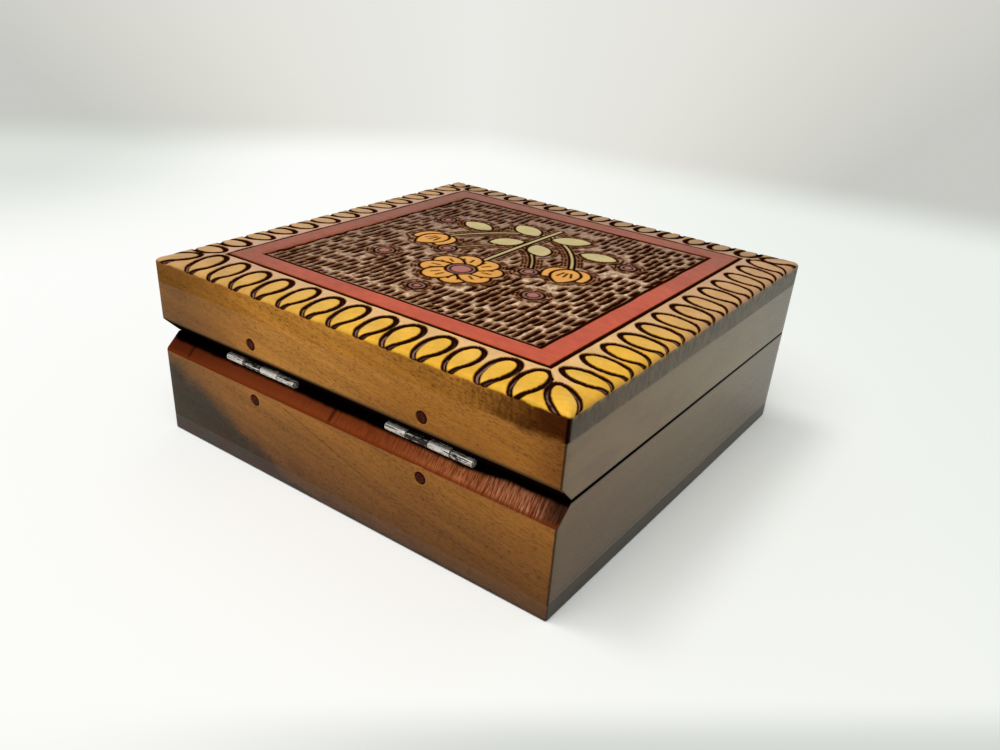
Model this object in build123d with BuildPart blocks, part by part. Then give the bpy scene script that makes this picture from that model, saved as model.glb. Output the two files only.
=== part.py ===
# Square wooden trinket box with a thick carved lid board and two pinned hinges at the back.
# Sizes are in millimetres. The origin is at the middle of the underside, +Z up.
# The front faces -Y, the hinges are at +Y, and left and right are as seen from the front.
import os

from build123d import *

# Plan of the box
box_width = 140.0
box_depth = 140.0
wall_thick = 8.0
corner_round = 0.6

# Layers, from the table up
bottom_board_thick = 5.0
bottom_edge_round = 0.5
base_wall_height = 26.5
lid_wall_height = 17.0
lid_board_thick = 8.4

# Lid board: straight sides, a rounded upper edge, and a border that rises slowly to the flat middle
lid_board_side_height = 5.7
lid_board_round_width = 2.4
lid_board_round_height = 1.7
lid_border_width = 14.3

# Carved loops round the border, each a petal with its tip at the outer edge
loops_per_side = 13
first_loop_inset = 16.0
loop_inset = 0.3
loop_length = 11.9
corner_loop_length = 15.6
loop_width = 7.3
loop_widest_share = 0.62
loop_groove_width = 1.5
loop_groove_depth = 0.75

# Two carved lines along the painted stripe inside the border
stripe_width = 7.6
stripe_line_width = 0.9
stripe_line_depth = 0.45

# Ribbed ground inside the stripe, and the sprig that stands up out of its moat
ground_margin = 1.1
ground_rib_pitch = 2.3
ground_groove_width = 1.3
ground_groove_depth = 0.6
sprig_moat = 1.0
stem_width = 2.0
stem_foot_y = -36.0
leaf_length = 12.4
leaf_width = 8.0
bud_petal_width = 8.4
bud_place = (23.5, -6.0)
bud_turn = -12.0
bud_petal_turns = (-34.0, 0.0, 34.0)
berry_radius = 3.0
flower_place = (0.0, 17.0)
flower_petals = 8
flower_petal_length = 10.8
flower_petal_width = 8.4
flower_middle_radius = 5.0

# Groove along the back where the lid meets the base, and the gap that widens towards it
groove_depth = 5.0
lid_bevel_height = 5.0
base_bevel_height = 4.5
seam_gap_at_groove = 0.4

# Hinges: leaves stand in saw kerfs in the back walls, knuckles lie in the groove
hinge_spacing = 60.8
hinge_length = 28.0
hinge_axis_inset = 3.4
knuckles_per_hinge = 4
knuckle_gap = 0.15
hinge_pin_radius = 0.5
pin_clearance = 0.05
leaf_thick = 0.55
leaf_end_margin = 3.0
kerf_clearance = 0.06

# One nail through the back wall holds each leaf
lid_nail_rise = 8.8
base_nail_drop = 8.2
nail_head_radius = 1.7
nail_head_thick = 0.6
nail_head_recess = 0.15
nail_shank_radius = 0.7
nail_point_length = 1.6
nail_tip_cover = 1.5
nail_clearance = 0.05

# Heights and places worked out from the sizes above
base_floor = bottom_board_thick
seam_height = base_floor + base_wall_height
lid_wall_top = seam_height + lid_wall_height
lid_top = lid_wall_top + lid_board_thick
board_edge_line = lid_wall_top + lid_board_side_height
half_width = box_width / 2
half_depth = box_depth / 2
middle_half_width = half_width - lid_border_width
middle_half_depth = half_depth - lid_border_width
ground_half_width = middle_half_width - stripe_width - ground_margin
ground_half_depth = middle_half_depth - stripe_width - ground_margin
groove_apex = half_depth - groove_depth
axis_y = half_depth - hinge_axis_inset
axis_z = seam_height + seam_gap_at_groove / 2
bore_radius = hinge_pin_radius + pin_clearance
knuckle_radius = bore_radius + leaf_thick
knuckle_pitch = hinge_length / knuckles_per_hinge
leaf_setback = knuckle_radius + knuckle_gap
leaf_y = axis_y - knuckle_radius + leaf_thick / 2
lid_nail_z = seam_height + lid_nail_rise
base_nail_z = seam_height - base_nail_drop
lid_leaf_reach = lid_nail_z + leaf_end_margin - axis_z
base_leaf_reach = axis_z - base_nail_z + leaf_end_margin
nail_length = wall_thick - nail_tip_cover - nail_head_recess
cut_margin = 1.0

hinge_places = {"left": -hinge_spacing / 2, "right": hinge_spacing / 2}

# Sprig, right half: place and turn of each leaf, places of the berries, bend of the side stem
leaf_places = ((8.5, -30.0, 62.0), (24.0, -20.0, 80.0), (7.0, -14.0, -42.0))
berry_places = ((15.2, 5.0), (27.0, 20.0), (35.0, -20.0))
side_stem_foot = (0.0, -30.0)
side_stem_bend = (15.0, -22.0)
top_berry_place = (0.0, 36.0)

# Each wall is drawn with its outer face along its own +y: direction of its x, reach, half length
wall_sides = {
    "front": ((-1, 0, 0), half_depth, half_width),
    "back": ((1, 0, 0), half_depth, half_width),
    "left": ((0, 1, 0), half_width, half_depth),
    "right": ((0, -1, 0), half_width, half_depth),
}


def wall_plane(x_dir, height):
    """Horizontal plane at a height, turned so that its +y points out of one wall."""
    return Plane(origin=(0, 0, height), x_dir=x_dir, z_dir=(0, 0, 1))


def mitred_outline(reach, half_length):
    """Plan of one wall, mitred at both ends, with its half of each rounded corner."""
    inner_y = reach - wall_thick
    inner_x = half_length - wall_thick
    arc_x = half_length - corner_round
    arc_y = reach - corner_round
    with BuildLine() as outline:
        Line((-arc_x, reach), (arc_x, reach))
        right_arc = CenterArc((arc_x, arc_y), corner_round, 45, 45)
        left_arc = CenterArc((-arc_x, arc_y), corner_round, 90, 45)
        Polyline(right_arc @ 0, (inner_x, inner_y), (-inner_x, inner_y), left_arc @ 1)
    return outline


def lid_relief_outline():
    """Side view of what is cut from under the lid: the widening gap and the upper bevel."""
    with BuildLine() as outline:
        Polyline(
            (-half_depth, seam_height),
            (groove_apex, seam_height + seam_gap_at_groove),
            (half_depth, seam_height + seam_gap_at_groove + lid_bevel_height),
            (half_depth + cut_margin, seam_height + seam_gap_at_groove + lid_bevel_height),
            (half_depth + cut_margin, seam_height - cut_margin),
            (-half_depth, seam_height - cut_margin),
            close=True,
        )
    return outline


def base_relief_outline():
    """Side view of what is cut from the base's back edge: the lower bevel of the groove."""
    with BuildLine() as outline:
        Polyline(
            (groove_apex, seam_height),
            (half_depth, seam_height - base_bevel_height),
            (half_depth + cut_margin, seam_height - base_bevel_height),
            (half_depth + cut_margin, seam_height + cut_margin),
            (groove_apex, seam_height + cut_margin),
            close=True,
        )
    return outline


def cut_hinge_seats(nail_z, kerf_end):
    """Kerfs for the leaves, open at the seam, and stepped holes for the nails."""
    kerf_length = hinge_length + 2 * kerf_clearance
    kerf_width = leaf_thick + 2 * kerf_clearance
    kerf_depth = 2 * abs(kerf_end - axis_z)
    for x in hinge_places.values():
        with Locations((x, leaf_y, axis_z)):
            Box(kerf_length, kerf_width, kerf_depth, mode=Mode.SUBTRACT)
        with Locations(Plane(origin=(x, half_depth, nail_z), z_dir=(0, 1, 0))):
            CounterBoreHole(
                radius=nail_shank_radius + nail_clearance,
                counter_bore_radius=nail_head_radius + nail_clearance,
                counter_bore_depth=nail_head_recess + nail_head_thick,
                depth=nail_head_recess + nail_length,
            )


def leaf_at(x, direction, reach, first_knuckle):
    """One hinge leaf: a plate with every second knuckle, going up (+1) or down (-1)."""
    plate_height = reach - leaf_setback
    plate_z = axis_z + direction * (leaf_setback + plate_height / 2)
    nail_z = axis_z + direction * (reach - leaf_end_margin)
    end_x = x - hinge_length / 2
    with BuildPart() as leaf:
        with Locations((x, leaf_y, plate_z)):
            Box(hinge_length, leaf_thick, plate_height)
        for index in range(first_knuckle, knuckles_per_hinge, 2):
            knuckle_start = end_x + index * knuckle_pitch + knuckle_gap / 2
            with BuildSketch(Plane.YZ.offset(knuckle_start)):
                with Locations((axis_y, axis_z)):
                    Circle(knuckle_radius)
                with Locations((leaf_y, axis_z + direction * leaf_setback / 2)):
                    Rectangle(leaf_thick, leaf_setback)
                with Locations((axis_y, axis_z)):
                    Circle(bore_radius, mode=Mode.SUBTRACT)
            extrude(amount=knuckle_pitch - knuckle_gap)
        with Locations(Plane(origin=(x, leaf_y + leaf_thick / 2, nail_z), z_dir=(0, 1, 0))):
            Hole(radius=nail_shank_radius + nail_clearance, depth=leaf_thick)
    return leaf.part


def nail_at(x, z):
    """A round-headed nail along Y, its head a little below the back face."""
    head_y = half_depth - nail_head_recess
    shoulder_y = head_y - nail_head_thick
    tip_y = head_y - nail_length
    with BuildPart() as nail:
        with BuildSketch(Plane(origin=(x, 0, z), x_dir=(1, 0, 0), z_dir=(0, 0, 1))):
            with BuildLine():
                dome = ThreePointArc(
                    (0, head_y),
                    (nail_head_radius * 0.6, head_y - nail_head_thick * 0.18),
                    (nail_head_radius, head_y - nail_head_thick * 0.5),
                )
                Polyline(
                    dome @ 1,
                    (nail_head_radius, shoulder_y),
                    (nail_shank_radius, shoulder_y),
                    (nail_shank_radius, tip_y + nail_point_length),
                    (0, tip_y),
                    dome @ 0,
                )
            make_face()
        revolve(axis=Axis((x, 0, z), (0, 1, 0)))
    return nail.part


def board_section(reach, sink):
    """Section of the lid board from side to side, with its skin taken off to a depth of sink."""
    round_x = reach - lid_board_round_width
    round_width = lid_board_round_width - sink
    round_height = lid_board_round_height - sink
    with BuildSketch() as section:
        with BuildLine():
            edge = EllipticalCenterArc((round_x, board_edge_line), round_width, round_height, arc_size=90)
            Polyline(
                edge @ 1,
                (reach - lid_border_width, lid_top - sink),
                (0, lid_top - sink),
                (0, lid_wall_top),
                (reach - sink, lid_wall_top),
                edge @ 0,
            )
        make_face()
        mirror(about=Plane.YZ)
    return section.sketch


def board_block(sink):
    """The lid board before its carving, with its skin taken off to a depth of sink."""
    with BuildPart() as block:
        with BuildSketch(Plane.XZ):
            add(board_section(half_width, sink))
        extrude(amount=half_depth - sink, both=True)
        with BuildSketch(Plane.YZ):
            add(board_section(half_depth, sink))
        extrude(amount=half_width - sink, both=True, mode=Mode.INTERSECT)
    return block.part


def petal(length, width):
    """A petal along +y, its tip at the origin and its other end round."""
    with BuildSketch() as outline:
        with BuildLine():
            Spline(
                (0, 0),
                (width / 2, length * loop_widest_share),
                (0, length),
                tangents=((0.55, 1), (-1, 0)),
            )
            Line((0, length), (0, 0))
        make_face()
        mirror(about=Plane.YZ)
    return outline.sketch


def loop_ring(length):
    """Plan of one loop's groove, whose edges part by a whole groove width at the pointed tip."""
    length_change = 1.5 * loop_groove_width
    with BuildSketch() as ring:
        with Locations((0, -loop_groove_width)):
            add(petal(length + length_change, loop_width + loop_groove_width))
        with Locations((0, loop_groove_width)):
            add(petal(length - length_change, loop_width - loop_groove_width), mode=Mode.SUBTRACT)
    return ring.sketch


def side_loop_places(turn, reach, half_length):
    """Places of the loops' tips along one side, turned to it from the front."""
    first = half_length - first_loop_inset
    pitch = 2 * first / (loops_per_side - 1)
    facing = Location((0, 0, 0), (0, 0, turn))
    tips = [(index * pitch - first, loop_inset - reach, 0) for index in range(loops_per_side)]
    return [facing * Location(tip) for tip in tips]


def corner_loop_places():
    """Places of the four corner loops' tips, turned to point at the middle of the board."""
    tip_x = half_width - loop_inset
    tip_y = half_depth - loop_inset
    corners = ((-1, -1, -45), (1, -1, 45), (1, 1, 135), (-1, 1, -135))
    return [Location((side_x * tip_x, side_y * tip_y, 0), (0, 0, turn)) for side_x, side_y, turn in corners]


def sprig(grown):
    """Flat outline of the sprig: stems, leaves, buds, berries and a flower, each grown by a margin."""
    bud_x, bud_y = bud_place
    bend_x, bend_y = side_stem_bend
    petal_reach = (flower_middle_radius + flower_petal_length) / 2
    with BuildSketch() as outline:
        with BuildLine() as stems:
            Line((0, stem_foot_y), flower_place)
            for side in (-1, 1):
                ThreePointArc(side_stem_foot, (side * bend_x, bend_y), (side * bud_x, bud_y))
        trace(stems.line, stem_width + 2 * grown)
        for side in (-1, 1):
            for x, y, turn in leaf_places:
                with Locations(Location((side * x, y, 0), (0, 0, side * turn))):
                    Ellipse(leaf_width / 2 + grown, leaf_length / 2 + grown)
            for turn in bud_petal_turns:
                with Locations(Location((side * bud_x, bud_y, 0), (0, 0, side * bud_turn + turn))):
                    with Locations((0, leaf_length / 2)):
                        Ellipse(bud_petal_width / 2 + grown, leaf_length / 2 + grown)
            with Locations(*[(side * x, y) for x, y in berry_places]):
                Circle(berry_radius + grown)
        with Locations(flower_place):
            Circle(flower_middle_radius + grown)
            with PolarLocations(petal_reach, flower_petals, 180 / flower_petals):
                Ellipse(flower_petal_length / 2 + grown, flower_petal_width / 2 + grown)
        with Locations(top_berry_place):
            Circle(berry_radius + grown)
    return outline.sketch


def write(part, name):
    """Label a finished piece and write it to its own file."""
    part.label = name
    export_step(part, f"parts/{name}.step")


os.makedirs("parts", exist_ok=True)

# Bottom board, glued under the base walls
with BuildPart() as bottom_board:
    with BuildSketch(Plane.XY):
        RectangleRounded(box_width, box_depth, corner_round)
    extrude(amount=bottom_board_thick)
    fillet(bottom_board.faces().sort_by(Axis.Z)[0].edges(), bottom_edge_round)
write(bottom_board.part, "bottom_board")

# Base walls, mitred at the corners, with the lower bevel of the groove at the back
for side, (x_dir, reach, half_length) in wall_sides.items():
    with BuildPart() as base_wall:
        with BuildSketch(wall_plane(x_dir, base_floor)):
            add(mitred_outline(reach, half_length).line)
            make_face()
        extrude(amount=base_wall_height)
        if side != "front":
            with BuildSketch(Plane.YZ):
                add(base_relief_outline().line)
                make_face()
            extrude(amount=box_width, both=True, mode=Mode.SUBTRACT)
        if side == "back":
            cut_hinge_seats(base_nail_z, axis_z - base_leaf_reach - kerf_clearance)
    write(base_wall.part, f"base_{side}_wall")

# Lid walls, mitred too, with a gap below that widens towards the groove
for side, (x_dir, reach, half_length) in wall_sides.items():
    with BuildPart() as lid_wall:
        with BuildSketch(wall_plane(x_dir, seam_height)):
            add(mitred_outline(reach, half_length).line)
            make_face()
        extrude(amount=lid_wall_height)
        with BuildSketch(Plane.YZ):
            add(lid_relief_outline().line)
            make_face()
        extrude(amount=box_width, both=True, mode=Mode.SUBTRACT)
        if side == "back":
            cut_hinge_seats(lid_nail_z, axis_z + lid_leaf_reach + kerf_clearance)
    write(lid_wall.part, f"lid_{side}_wall")

# Loops of the border, down to one depth below the board's rounded edge and rising border
with BuildPart() as loop_grooves:
    with BuildSketch(Plane.XY.offset(board_edge_line)):
        for turn in (0, 180):
            with Locations(*side_loop_places(turn, half_depth, half_width)):
                add(loop_ring(loop_length))
        for turn in (90, 270):
            with Locations(*side_loop_places(turn, half_width, half_depth)):
                add(loop_ring(loop_length))
        with Locations(*corner_loop_places()):
            add(loop_ring(corner_loop_length))
    extrude(amount=lid_board_thick)
    add(board_block(loop_groove_depth), mode=Mode.SUBTRACT)

# Lid board, glued on the lid walls, carved with loops, stripe lines, ribbed ground and sprig
with BuildPart() as lid_top_board:
    add(board_block(0))
    with BuildSketch(Plane.XY.offset(lid_wall_top)):
        RectangleRounded(box_width, box_depth, corner_round)
    extrude(amount=lid_board_thick, mode=Mode.INTERSECT)
    add(loop_grooves.part, mode=Mode.SUBTRACT)
    with BuildSketch(Plane.XY.offset(lid_top)):
        for inset in (0, stripe_width):
            line_width = 2 * (middle_half_width - inset)
            line_depth = 2 * (middle_half_depth - inset)
            Rectangle(line_width + stripe_line_width, line_depth + stripe_line_width)
            Rectangle(line_width - stripe_line_width, line_depth - stripe_line_width, mode=Mode.SUBTRACT)
    extrude(amount=-stripe_line_depth, mode=Mode.SUBTRACT)
    with BuildSketch(Plane.XY.offset(lid_top)):
        with GridLocations(ground_rib_pitch, 0, int(2 * ground_half_width / ground_rib_pitch) + 1, 1):
            Rectangle(ground_groove_width, 2 * ground_half_depth)
        add(sprig(sprig_moat))
        add(sprig(0), mode=Mode.SUBTRACT)
    extrude(amount=-ground_groove_depth, mode=Mode.SUBTRACT)
write(lid_top_board.part, "lid_top_board")

# Hinges and the nails that hold their leaves
for place, x in hinge_places.items():
    write(leaf_at(x, -1, base_leaf_reach, 0), f"{place}_hinge_base_leaf")
    write(leaf_at(x, 1, lid_leaf_reach, 1), f"{place}_hinge_lid_leaf")
    with BuildPart() as hinge_pin:
        with Locations((x, axis_y, axis_z)):
            Cylinder(hinge_pin_radius, hinge_length, rotation=(0, 90, 0))
    write(hinge_pin.part, f"{place}_hinge_pin")
    write(nail_at(x, base_nail_z), f"{place}_base_nail")
    write(nail_at(x, lid_nail_z), f"{place}_lid_nail")
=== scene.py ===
# Looks of the square wooden trinket box: carved and painted lid board, stained walls, steel hinges.
# Lengths are in millimetres here, in the part's own frame, and become metres where objects are made.
import math

import bmesh
import bpy
import numpy as np
from mathutils import Matrix, Vector


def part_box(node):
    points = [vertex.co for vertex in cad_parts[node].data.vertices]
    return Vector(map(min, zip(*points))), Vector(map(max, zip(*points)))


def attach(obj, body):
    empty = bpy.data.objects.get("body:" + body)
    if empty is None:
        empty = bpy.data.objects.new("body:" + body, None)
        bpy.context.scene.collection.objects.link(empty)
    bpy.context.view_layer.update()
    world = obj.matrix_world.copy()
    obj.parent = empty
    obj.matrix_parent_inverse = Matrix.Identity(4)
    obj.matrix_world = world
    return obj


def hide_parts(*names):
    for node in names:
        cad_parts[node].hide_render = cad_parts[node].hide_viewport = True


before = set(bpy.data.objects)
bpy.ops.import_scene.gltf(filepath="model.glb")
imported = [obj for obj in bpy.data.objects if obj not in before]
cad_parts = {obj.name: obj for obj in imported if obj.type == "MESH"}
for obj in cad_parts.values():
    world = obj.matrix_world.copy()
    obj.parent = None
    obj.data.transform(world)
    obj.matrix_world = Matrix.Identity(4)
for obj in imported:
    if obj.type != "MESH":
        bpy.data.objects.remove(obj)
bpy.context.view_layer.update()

MM = 0.001
rng = np.random.default_rng(41)


def low_high(node):
    """Lowest and highest corners of a CAD node, in millimetres."""
    low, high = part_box(node)
    return np.array(low) / MM, np.array(high) / MM


# Sizes of the box, read from the CAD parts of model.glb
board_low, board_high = low_high("lid_top_board")
base_back_low, base_back_high = low_high("base_back_wall")
pin_low, pin_high = low_high("left_hinge_pin")
half = board_high[0]
wall_bottom = low_high("bottom_board")[1][2]
seam = base_back_high[2]
lid_wall_top = board_low[2]
board_top = board_high[2]
wall_inner = base_back_low[1]
axis_y = (pin_low[1] + pin_high[1]) / 2
axis_z = (pin_low[2] + pin_high[2]) / 2
pin_radius = (pin_high[2] - pin_low[2]) / 2

# Groove at the back, as deep as in the CAD walls
groove_apex = half - 5.0
seam_gap = 0.4
lid_bevel = 5.0
base_bevel = 4.5
corner_round = 0.6

# Hinges and nails: play, thickness, gaps between knuckles, and how bright the steel is
pin_play = 0.05
leaf_thick = 0.55
knuckle_gap = 0.42
knuckle_ease = 0.1
knuckle_shine = (0.7, 1.0, 0.3, 0.9)
leaf_shine = 0.2
nail_play = 0.06
round_steps = 40
round_angles = [math.tau * step / round_steps for step in range(round_steps)]

# Lid board: the rounded edge, the slow rise of the border and the painted stripe
edge_line = 54.2
round_width = 2.4
round_height = 1.7
stripe_outer = 55.7
stripe_inner = 48.1
border_rise = board_top - edge_line - round_height
stripe_line_width = 0.9
stripe_line_depth = 0.45
pocket_depth = 6.0
skirt_rows = 6
round_rows = 13
flat_rows = 36

# Points along each side and over the field, and how far the paint lies below the board's top
points_per_side = 430
field_columns = 398
field_rows = 246
paint_sink = 0.08

# Carved loops of the border
petals_per_side = 13
petal_pitch = 9.18
petal_groove_depth = 0.75
corner_petal_length = 15.7

# Burnt dashes of the ground
dash_column_pitch = 2.3
dash_row_pitch = 6.05
dash_length = 6.5
dash_width = 2.04
dash_slope = 0.3
dash_depth = 0.6
ground_sink = 0.12
motif_line_width = 0.72
motif_line_depth = 0.45
motif_margin = 2.1
berry_ring = 1.35

# Fine burnt strokes round the sprig and the veins in it
fine_width = 0.6
fine_edge = 0.24
stroke_depth = 0.3
vein_depth = 0.25


def srgb(red, green, blue):
    """A colour written as on a screen, 0 to 255, turned into the linear values that shaders use."""
    screen = np.array([red, green, blue]) / 255
    return np.where(screen <= 0.04045, screen / 12.92, ((screen + 0.055) / 1.055) ** 2.4)


def colour_stops(*stops):
    """Pairs of a place and a colour, from a place and the colour's three numbers each."""
    return [(place, srgb(*colour)) for place, *colour in stops]


# Paints near the back left corner; those named far are the same paints far from it, paler and browner with
# painted shade and painted sheen
AMBER = srgb(238, 181, 46)
AMBER_FAR = srgb(192, 148, 98)
AMBER_PALE = srgb(234, 184, 74)
LEFT_SHADE_BROWN = srgb(192, 150, 112)
RIM_TAN = srgb(176, 122, 84)
CREAM = srgb(232, 186, 124)
CREAM_FAR = srgb(198, 156, 132)
RED = srgb(195, 79, 48)
RED_FAR = srgb(136, 78, 58)
# Painted highlight for glints on the ground's ridges
RIDGE_GLINT = srgb(238, 206, 168)
RIDGE = srgb(144, 104, 72)
RIDGE_FAR = srgb(116, 88, 70)
OCHRE = srgb(228, 160, 66)
OLIVE = srgb(198, 182, 124)
MAUVE = srgb(166, 98, 86)
MAUVE_RING = srgb(138, 110, 102)
CHAR = srgb(34, 11, 3)
# Painted highlight along the middle of burnt lines
CHAR_GLINT = srgb(140, 106, 92)

# Stage: the floor's and backdrop's colours, greyed in parts by painted shade, and the light
FLOOR_BRIGHT = srgb(254, 255, 252)
FLOOR_SIDE_SHADE = srgb(236, 241, 235)
FLOOR_CORNER_SHADE = srgb(222, 228, 221)
FLOOR_NEAR_SHADE = srgb(214, 219, 213)
BACKDROP = colour_stops(
    (0.0, 235, 236, 231),
    (0.27, 228, 227, 220),
    (0.48, 214, 214, 206),
    (0.68, 200, 201, 196),
)
FLOOR_BOUNCE = (0.45, 0.45, 0.45)
WORLD_LEVEL = 0.3
# Lamps: strength, width in degrees, and where the light comes from
LAMPS = (
    ("fill", 1.87, 60, (-0.06, 0.45, 0.9)),
    ("key", 0.55, 16, (0.42, 0.12, 1.0)),
)


# Meshes and attributes

def mesh_object(name, points, faces, sharp_angle=35):
    """An object from points in millimetres, smooth except along edges sharper than an angle."""
    mesh = bpy.data.meshes.new(name)
    mesh.from_pydata((np.asarray(points) * MM).tolist(), [], [list(map(int, face)) for face in faces])
    mesh.validate()
    mesh.polygons.foreach_set("use_smooth", [True] * len(mesh.polygons))
    mesh.set_sharp_from_angle(angle=math.radians(sharp_angle))
    mesh.update()
    piece = bpy.data.objects.new(name, mesh)
    bpy.context.scene.collection.objects.link(piece)
    return piece


def add_value(piece, name, values):
    """Stores one number per point of a piece."""
    layer = piece.data.attributes.new(name, "FLOAT", "POINT")
    layer.data.foreach_set("value", np.ascontiguousarray(values, dtype=np.float32).ravel())


def smooth_step(value, start, end):
    """0 before start, 1 after end, and an even curve between."""
    share = np.clip((value - start) / (end - start), 0, 1)
    return share * share * (3 - 2 * share)


def blend_colours(first, second, share):
    """Colours between two, by a share for each point."""
    share = np.asarray(share)[..., None]
    return np.asarray(first) * (1 - share) + np.asarray(second) * share


def square_reach(x, y):
    """How far points are from the middle, towards the nearest side."""
    return np.maximum(np.abs(x), np.abs(y))


def facing(x, y, out_x, out_y):
    """1 on the quarter of the lid towards one side and 0 on the others."""
    return smooth_step(x * out_x + y * out_y - np.abs(x * out_y + y * out_x), -1.0, 1.0)


def waves(x, y, size, seed):
    """A smooth uneven value of about -1 to 1 with hills of a given size."""
    local = np.random.default_rng(seed)
    total = np.zeros_like(x, dtype=float)
    for _ in range(9):
        angle = local.uniform(0, math.tau)
        step = math.tau / (size * local.uniform(0.7, 1.6))
        total += np.sin((x * math.cos(angle) + y * math.sin(angle)) * step + local.uniform(0, math.tau))
    return total / 4


# Flat shapes, as paths of points in millimetres

def path_distance(x, y, path, reach=6.0):
    """Distance from each point to a path, no more than reach."""
    result = np.full(x.shape, reach)
    low = path.min(axis=0) - reach
    high = path.max(axis=0) + reach
    near = (x > low[0]) & (x < high[0]) & (y > low[1]) & (y < high[1])
    near_x = x[near]
    near_y = y[near]
    best = np.full(near_x.shape, reach * reach)
    for start, end in zip(path[:-1], path[1:]):
        run = end - start
        length_squared = max(run @ run, 1e-9)
        along = ((near_x - start[0]) * run[0] + (near_y - start[1]) * run[1]) / length_squared
        along = np.clip(along, 0, 1)
        off_x = near_x - start[0] - along * run[0]
        off_y = near_y - start[1] - along * run[1]
        best = np.minimum(best, off_x * off_x + off_y * off_y)
    result[near] = np.sqrt(best)
    return result


def path_inside(x, y, path):
    """Whether each point is inside a closed path."""
    inside = np.zeros(x.shape, dtype=bool)
    for start, end in zip(path[:-1], path[1:]):
        crosses = (start[1] > y) != (end[1] > y)
        rise = end[1] - start[1]
        if abs(rise) < 1e-9:
            continue
        at = start[0] + (y - start[1]) * (end[0] - start[0]) / rise
        inside ^= crosses & (x < at)
    return inside


def turned(path, centre, degrees):
    """A path turned about its origin and moved to a centre."""
    angle = math.radians(degrees)
    turn = np.array([[math.cos(angle), math.sin(angle)], [-math.sin(angle), math.cos(angle)]])
    return path @ turn + np.array(centre)


def closed(path):
    """A path with its first point repeated at the end."""
    return np.vstack([path, path[:1]])


def lobe(length, half_width, tip_power, end_power, steps=40):
    """A lobe from a tip at the origin along +y: a higher power makes that end more pointed."""
    share = (1 - np.cos(np.linspace(0, math.pi, steps))) / 2
    widest = tip_power / (tip_power + end_power)
    top = widest ** tip_power * (1 - widest) ** end_power
    width = half_width * share ** tip_power * (1 - share) ** end_power / top
    right_side = np.column_stack([width, share * length])
    left_side = np.column_stack([-width, share * length])[::-1]
    return closed(np.vstack([right_side, left_side[1:-1]]))


def ring_path(radius, steps=48):
    """A circle about the origin."""
    angle = np.linspace(0, math.tau, steps + 1)
    return np.column_stack([radius * np.cos(angle), radius * np.sin(angle)])


def curve_path(start, bend, end, steps=24):
    """A curve from start to end that leans towards bend."""
    share = np.linspace(0, 1, steps)[:, None]
    start, bend, end = np.array(start), np.array(bend), np.array(end)
    return (1 - share) ** 2 * start + 2 * share * (1 - share) * bend + share ** 2 * end


# Sprig of folk flowers in the middle of the lid

def sprig_shapes():
    """Shapes from the bottom one up: a path, half a stroke's width or None if filled, and a colour."""
    shapes = []

    def add(path, centre, degrees, colour):
        shapes.append((turned(path, centre, degrees), None, colour))

    for side in (-1, 1):
        shapes.append((curve_path((0, -30), (side * 14, -25), (side * 23, -6)), 0.85, OLIVE))
        shapes.append((curve_path((0, -14), (side * 7, -12), (side * 14, 2)), 0.7, OLIVE))
    shapes.append((curve_path((0, -37), (0.6, -10), (0, 10)), 1.0, OLIVE))
    leaves = ((13.5, 4.3, 2.5, -27, 118), (12.5, 4.0, 17, -21, 100), (12.0, 4.0, 2.2, -19, 42))
    berries = ((3.0, 15.2, 4.6), (3.3, 27, 20), (2.8, 34.5, -20))
    for side in (-1, 1):
        for length, half_width, x, y, lean in leaves:
            add(lobe(length, half_width, 0.75, 0.75), (side * x, y), -side * lean, OLIVE)
        for lean in (34, -34, 0):
            add(lobe(13.0 - abs(lean) * 0.05, 4.4, 0.62, 0.8), (side * 23.5, -6), -side * 12 + lean, OCHRE)
        for radius, x, y in berries:
            add(ring_path(radius), (side * x, y), 0, MAUVE)
    for index in range(8):
        add(lobe(12.6, 4.5, 0.75, 0.5), (0, 17), index * 45 + 22.5, OCHRE)
    add(ring_path(4.6), (0, 17), 0, MAUVE)
    add(ring_path(2.7), (0, 36.5), 0, MAUVE)
    return shapes


def shape_distance(x, y, shape):
    """Distance to a shape's edge, less than 0 inside it."""
    path, stroke, _ = shape
    distance = path_distance(x, y, path)
    if stroke is not None:
        return distance - stroke
    return np.where(path_inside(x, y, path), -distance, distance)


def clearance(x, y, shapes):
    """Distance from each point to the nearest of some shapes."""
    return np.minimum.reduce([shape_distance(x, y, shape) for shape in shapes])


def vein_paths():
    """Fine burnt lines inside the petals, buds and leaves."""
    veins = []
    for index in range(8):
        petal_turn = index * 45 + 22.5
        for lean in (-9, 9):
            veins.append(turned(np.array([[0, 6.6], [0, 9.2]]), (0, 17), petal_turn + lean))
    for side in (-1, 1):
        for lean in (-16, 0, 16):
            veins.append(turned(np.array([[0, 4.0], [0, 7.6]]), (side * 23.5, -6), -side * 12 + lean))
    return veins


# Carved lid board

def mark_depth(distance, width, depth):
    """Depth of a rounded groove from the distance to its middle line."""
    return depth * np.clip(1 - (2 * distance / width) ** 2, 0, 1)


def stripe_lines(x, y):
    """Depth of the two burnt lines along the painted stripe, and distance to their edges."""
    reach = square_reach(x, y)
    at_back = facing(x, y, 0, 1)
    at_left = facing(x, y, -1, 0)
    wobble = 0.13 * waves(x, y, 17, 5)
    outer = np.abs(reach - stripe_outer)
    inner = np.abs(reach - stripe_inner + wobble)
    outer_width = stripe_line_width * (1 - 0.1 * at_back + 0.2 * at_left)
    inner_width = stripe_line_width * (1 + 0.3 * at_left)
    depth = np.maximum(
        mark_depth(outer, outer_width, stripe_line_depth), mark_depth(inner, inner_width, stripe_line_depth)
    )
    return depth, np.minimum(outer - outer_width / 2, inner - inner_width / 2)


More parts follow.
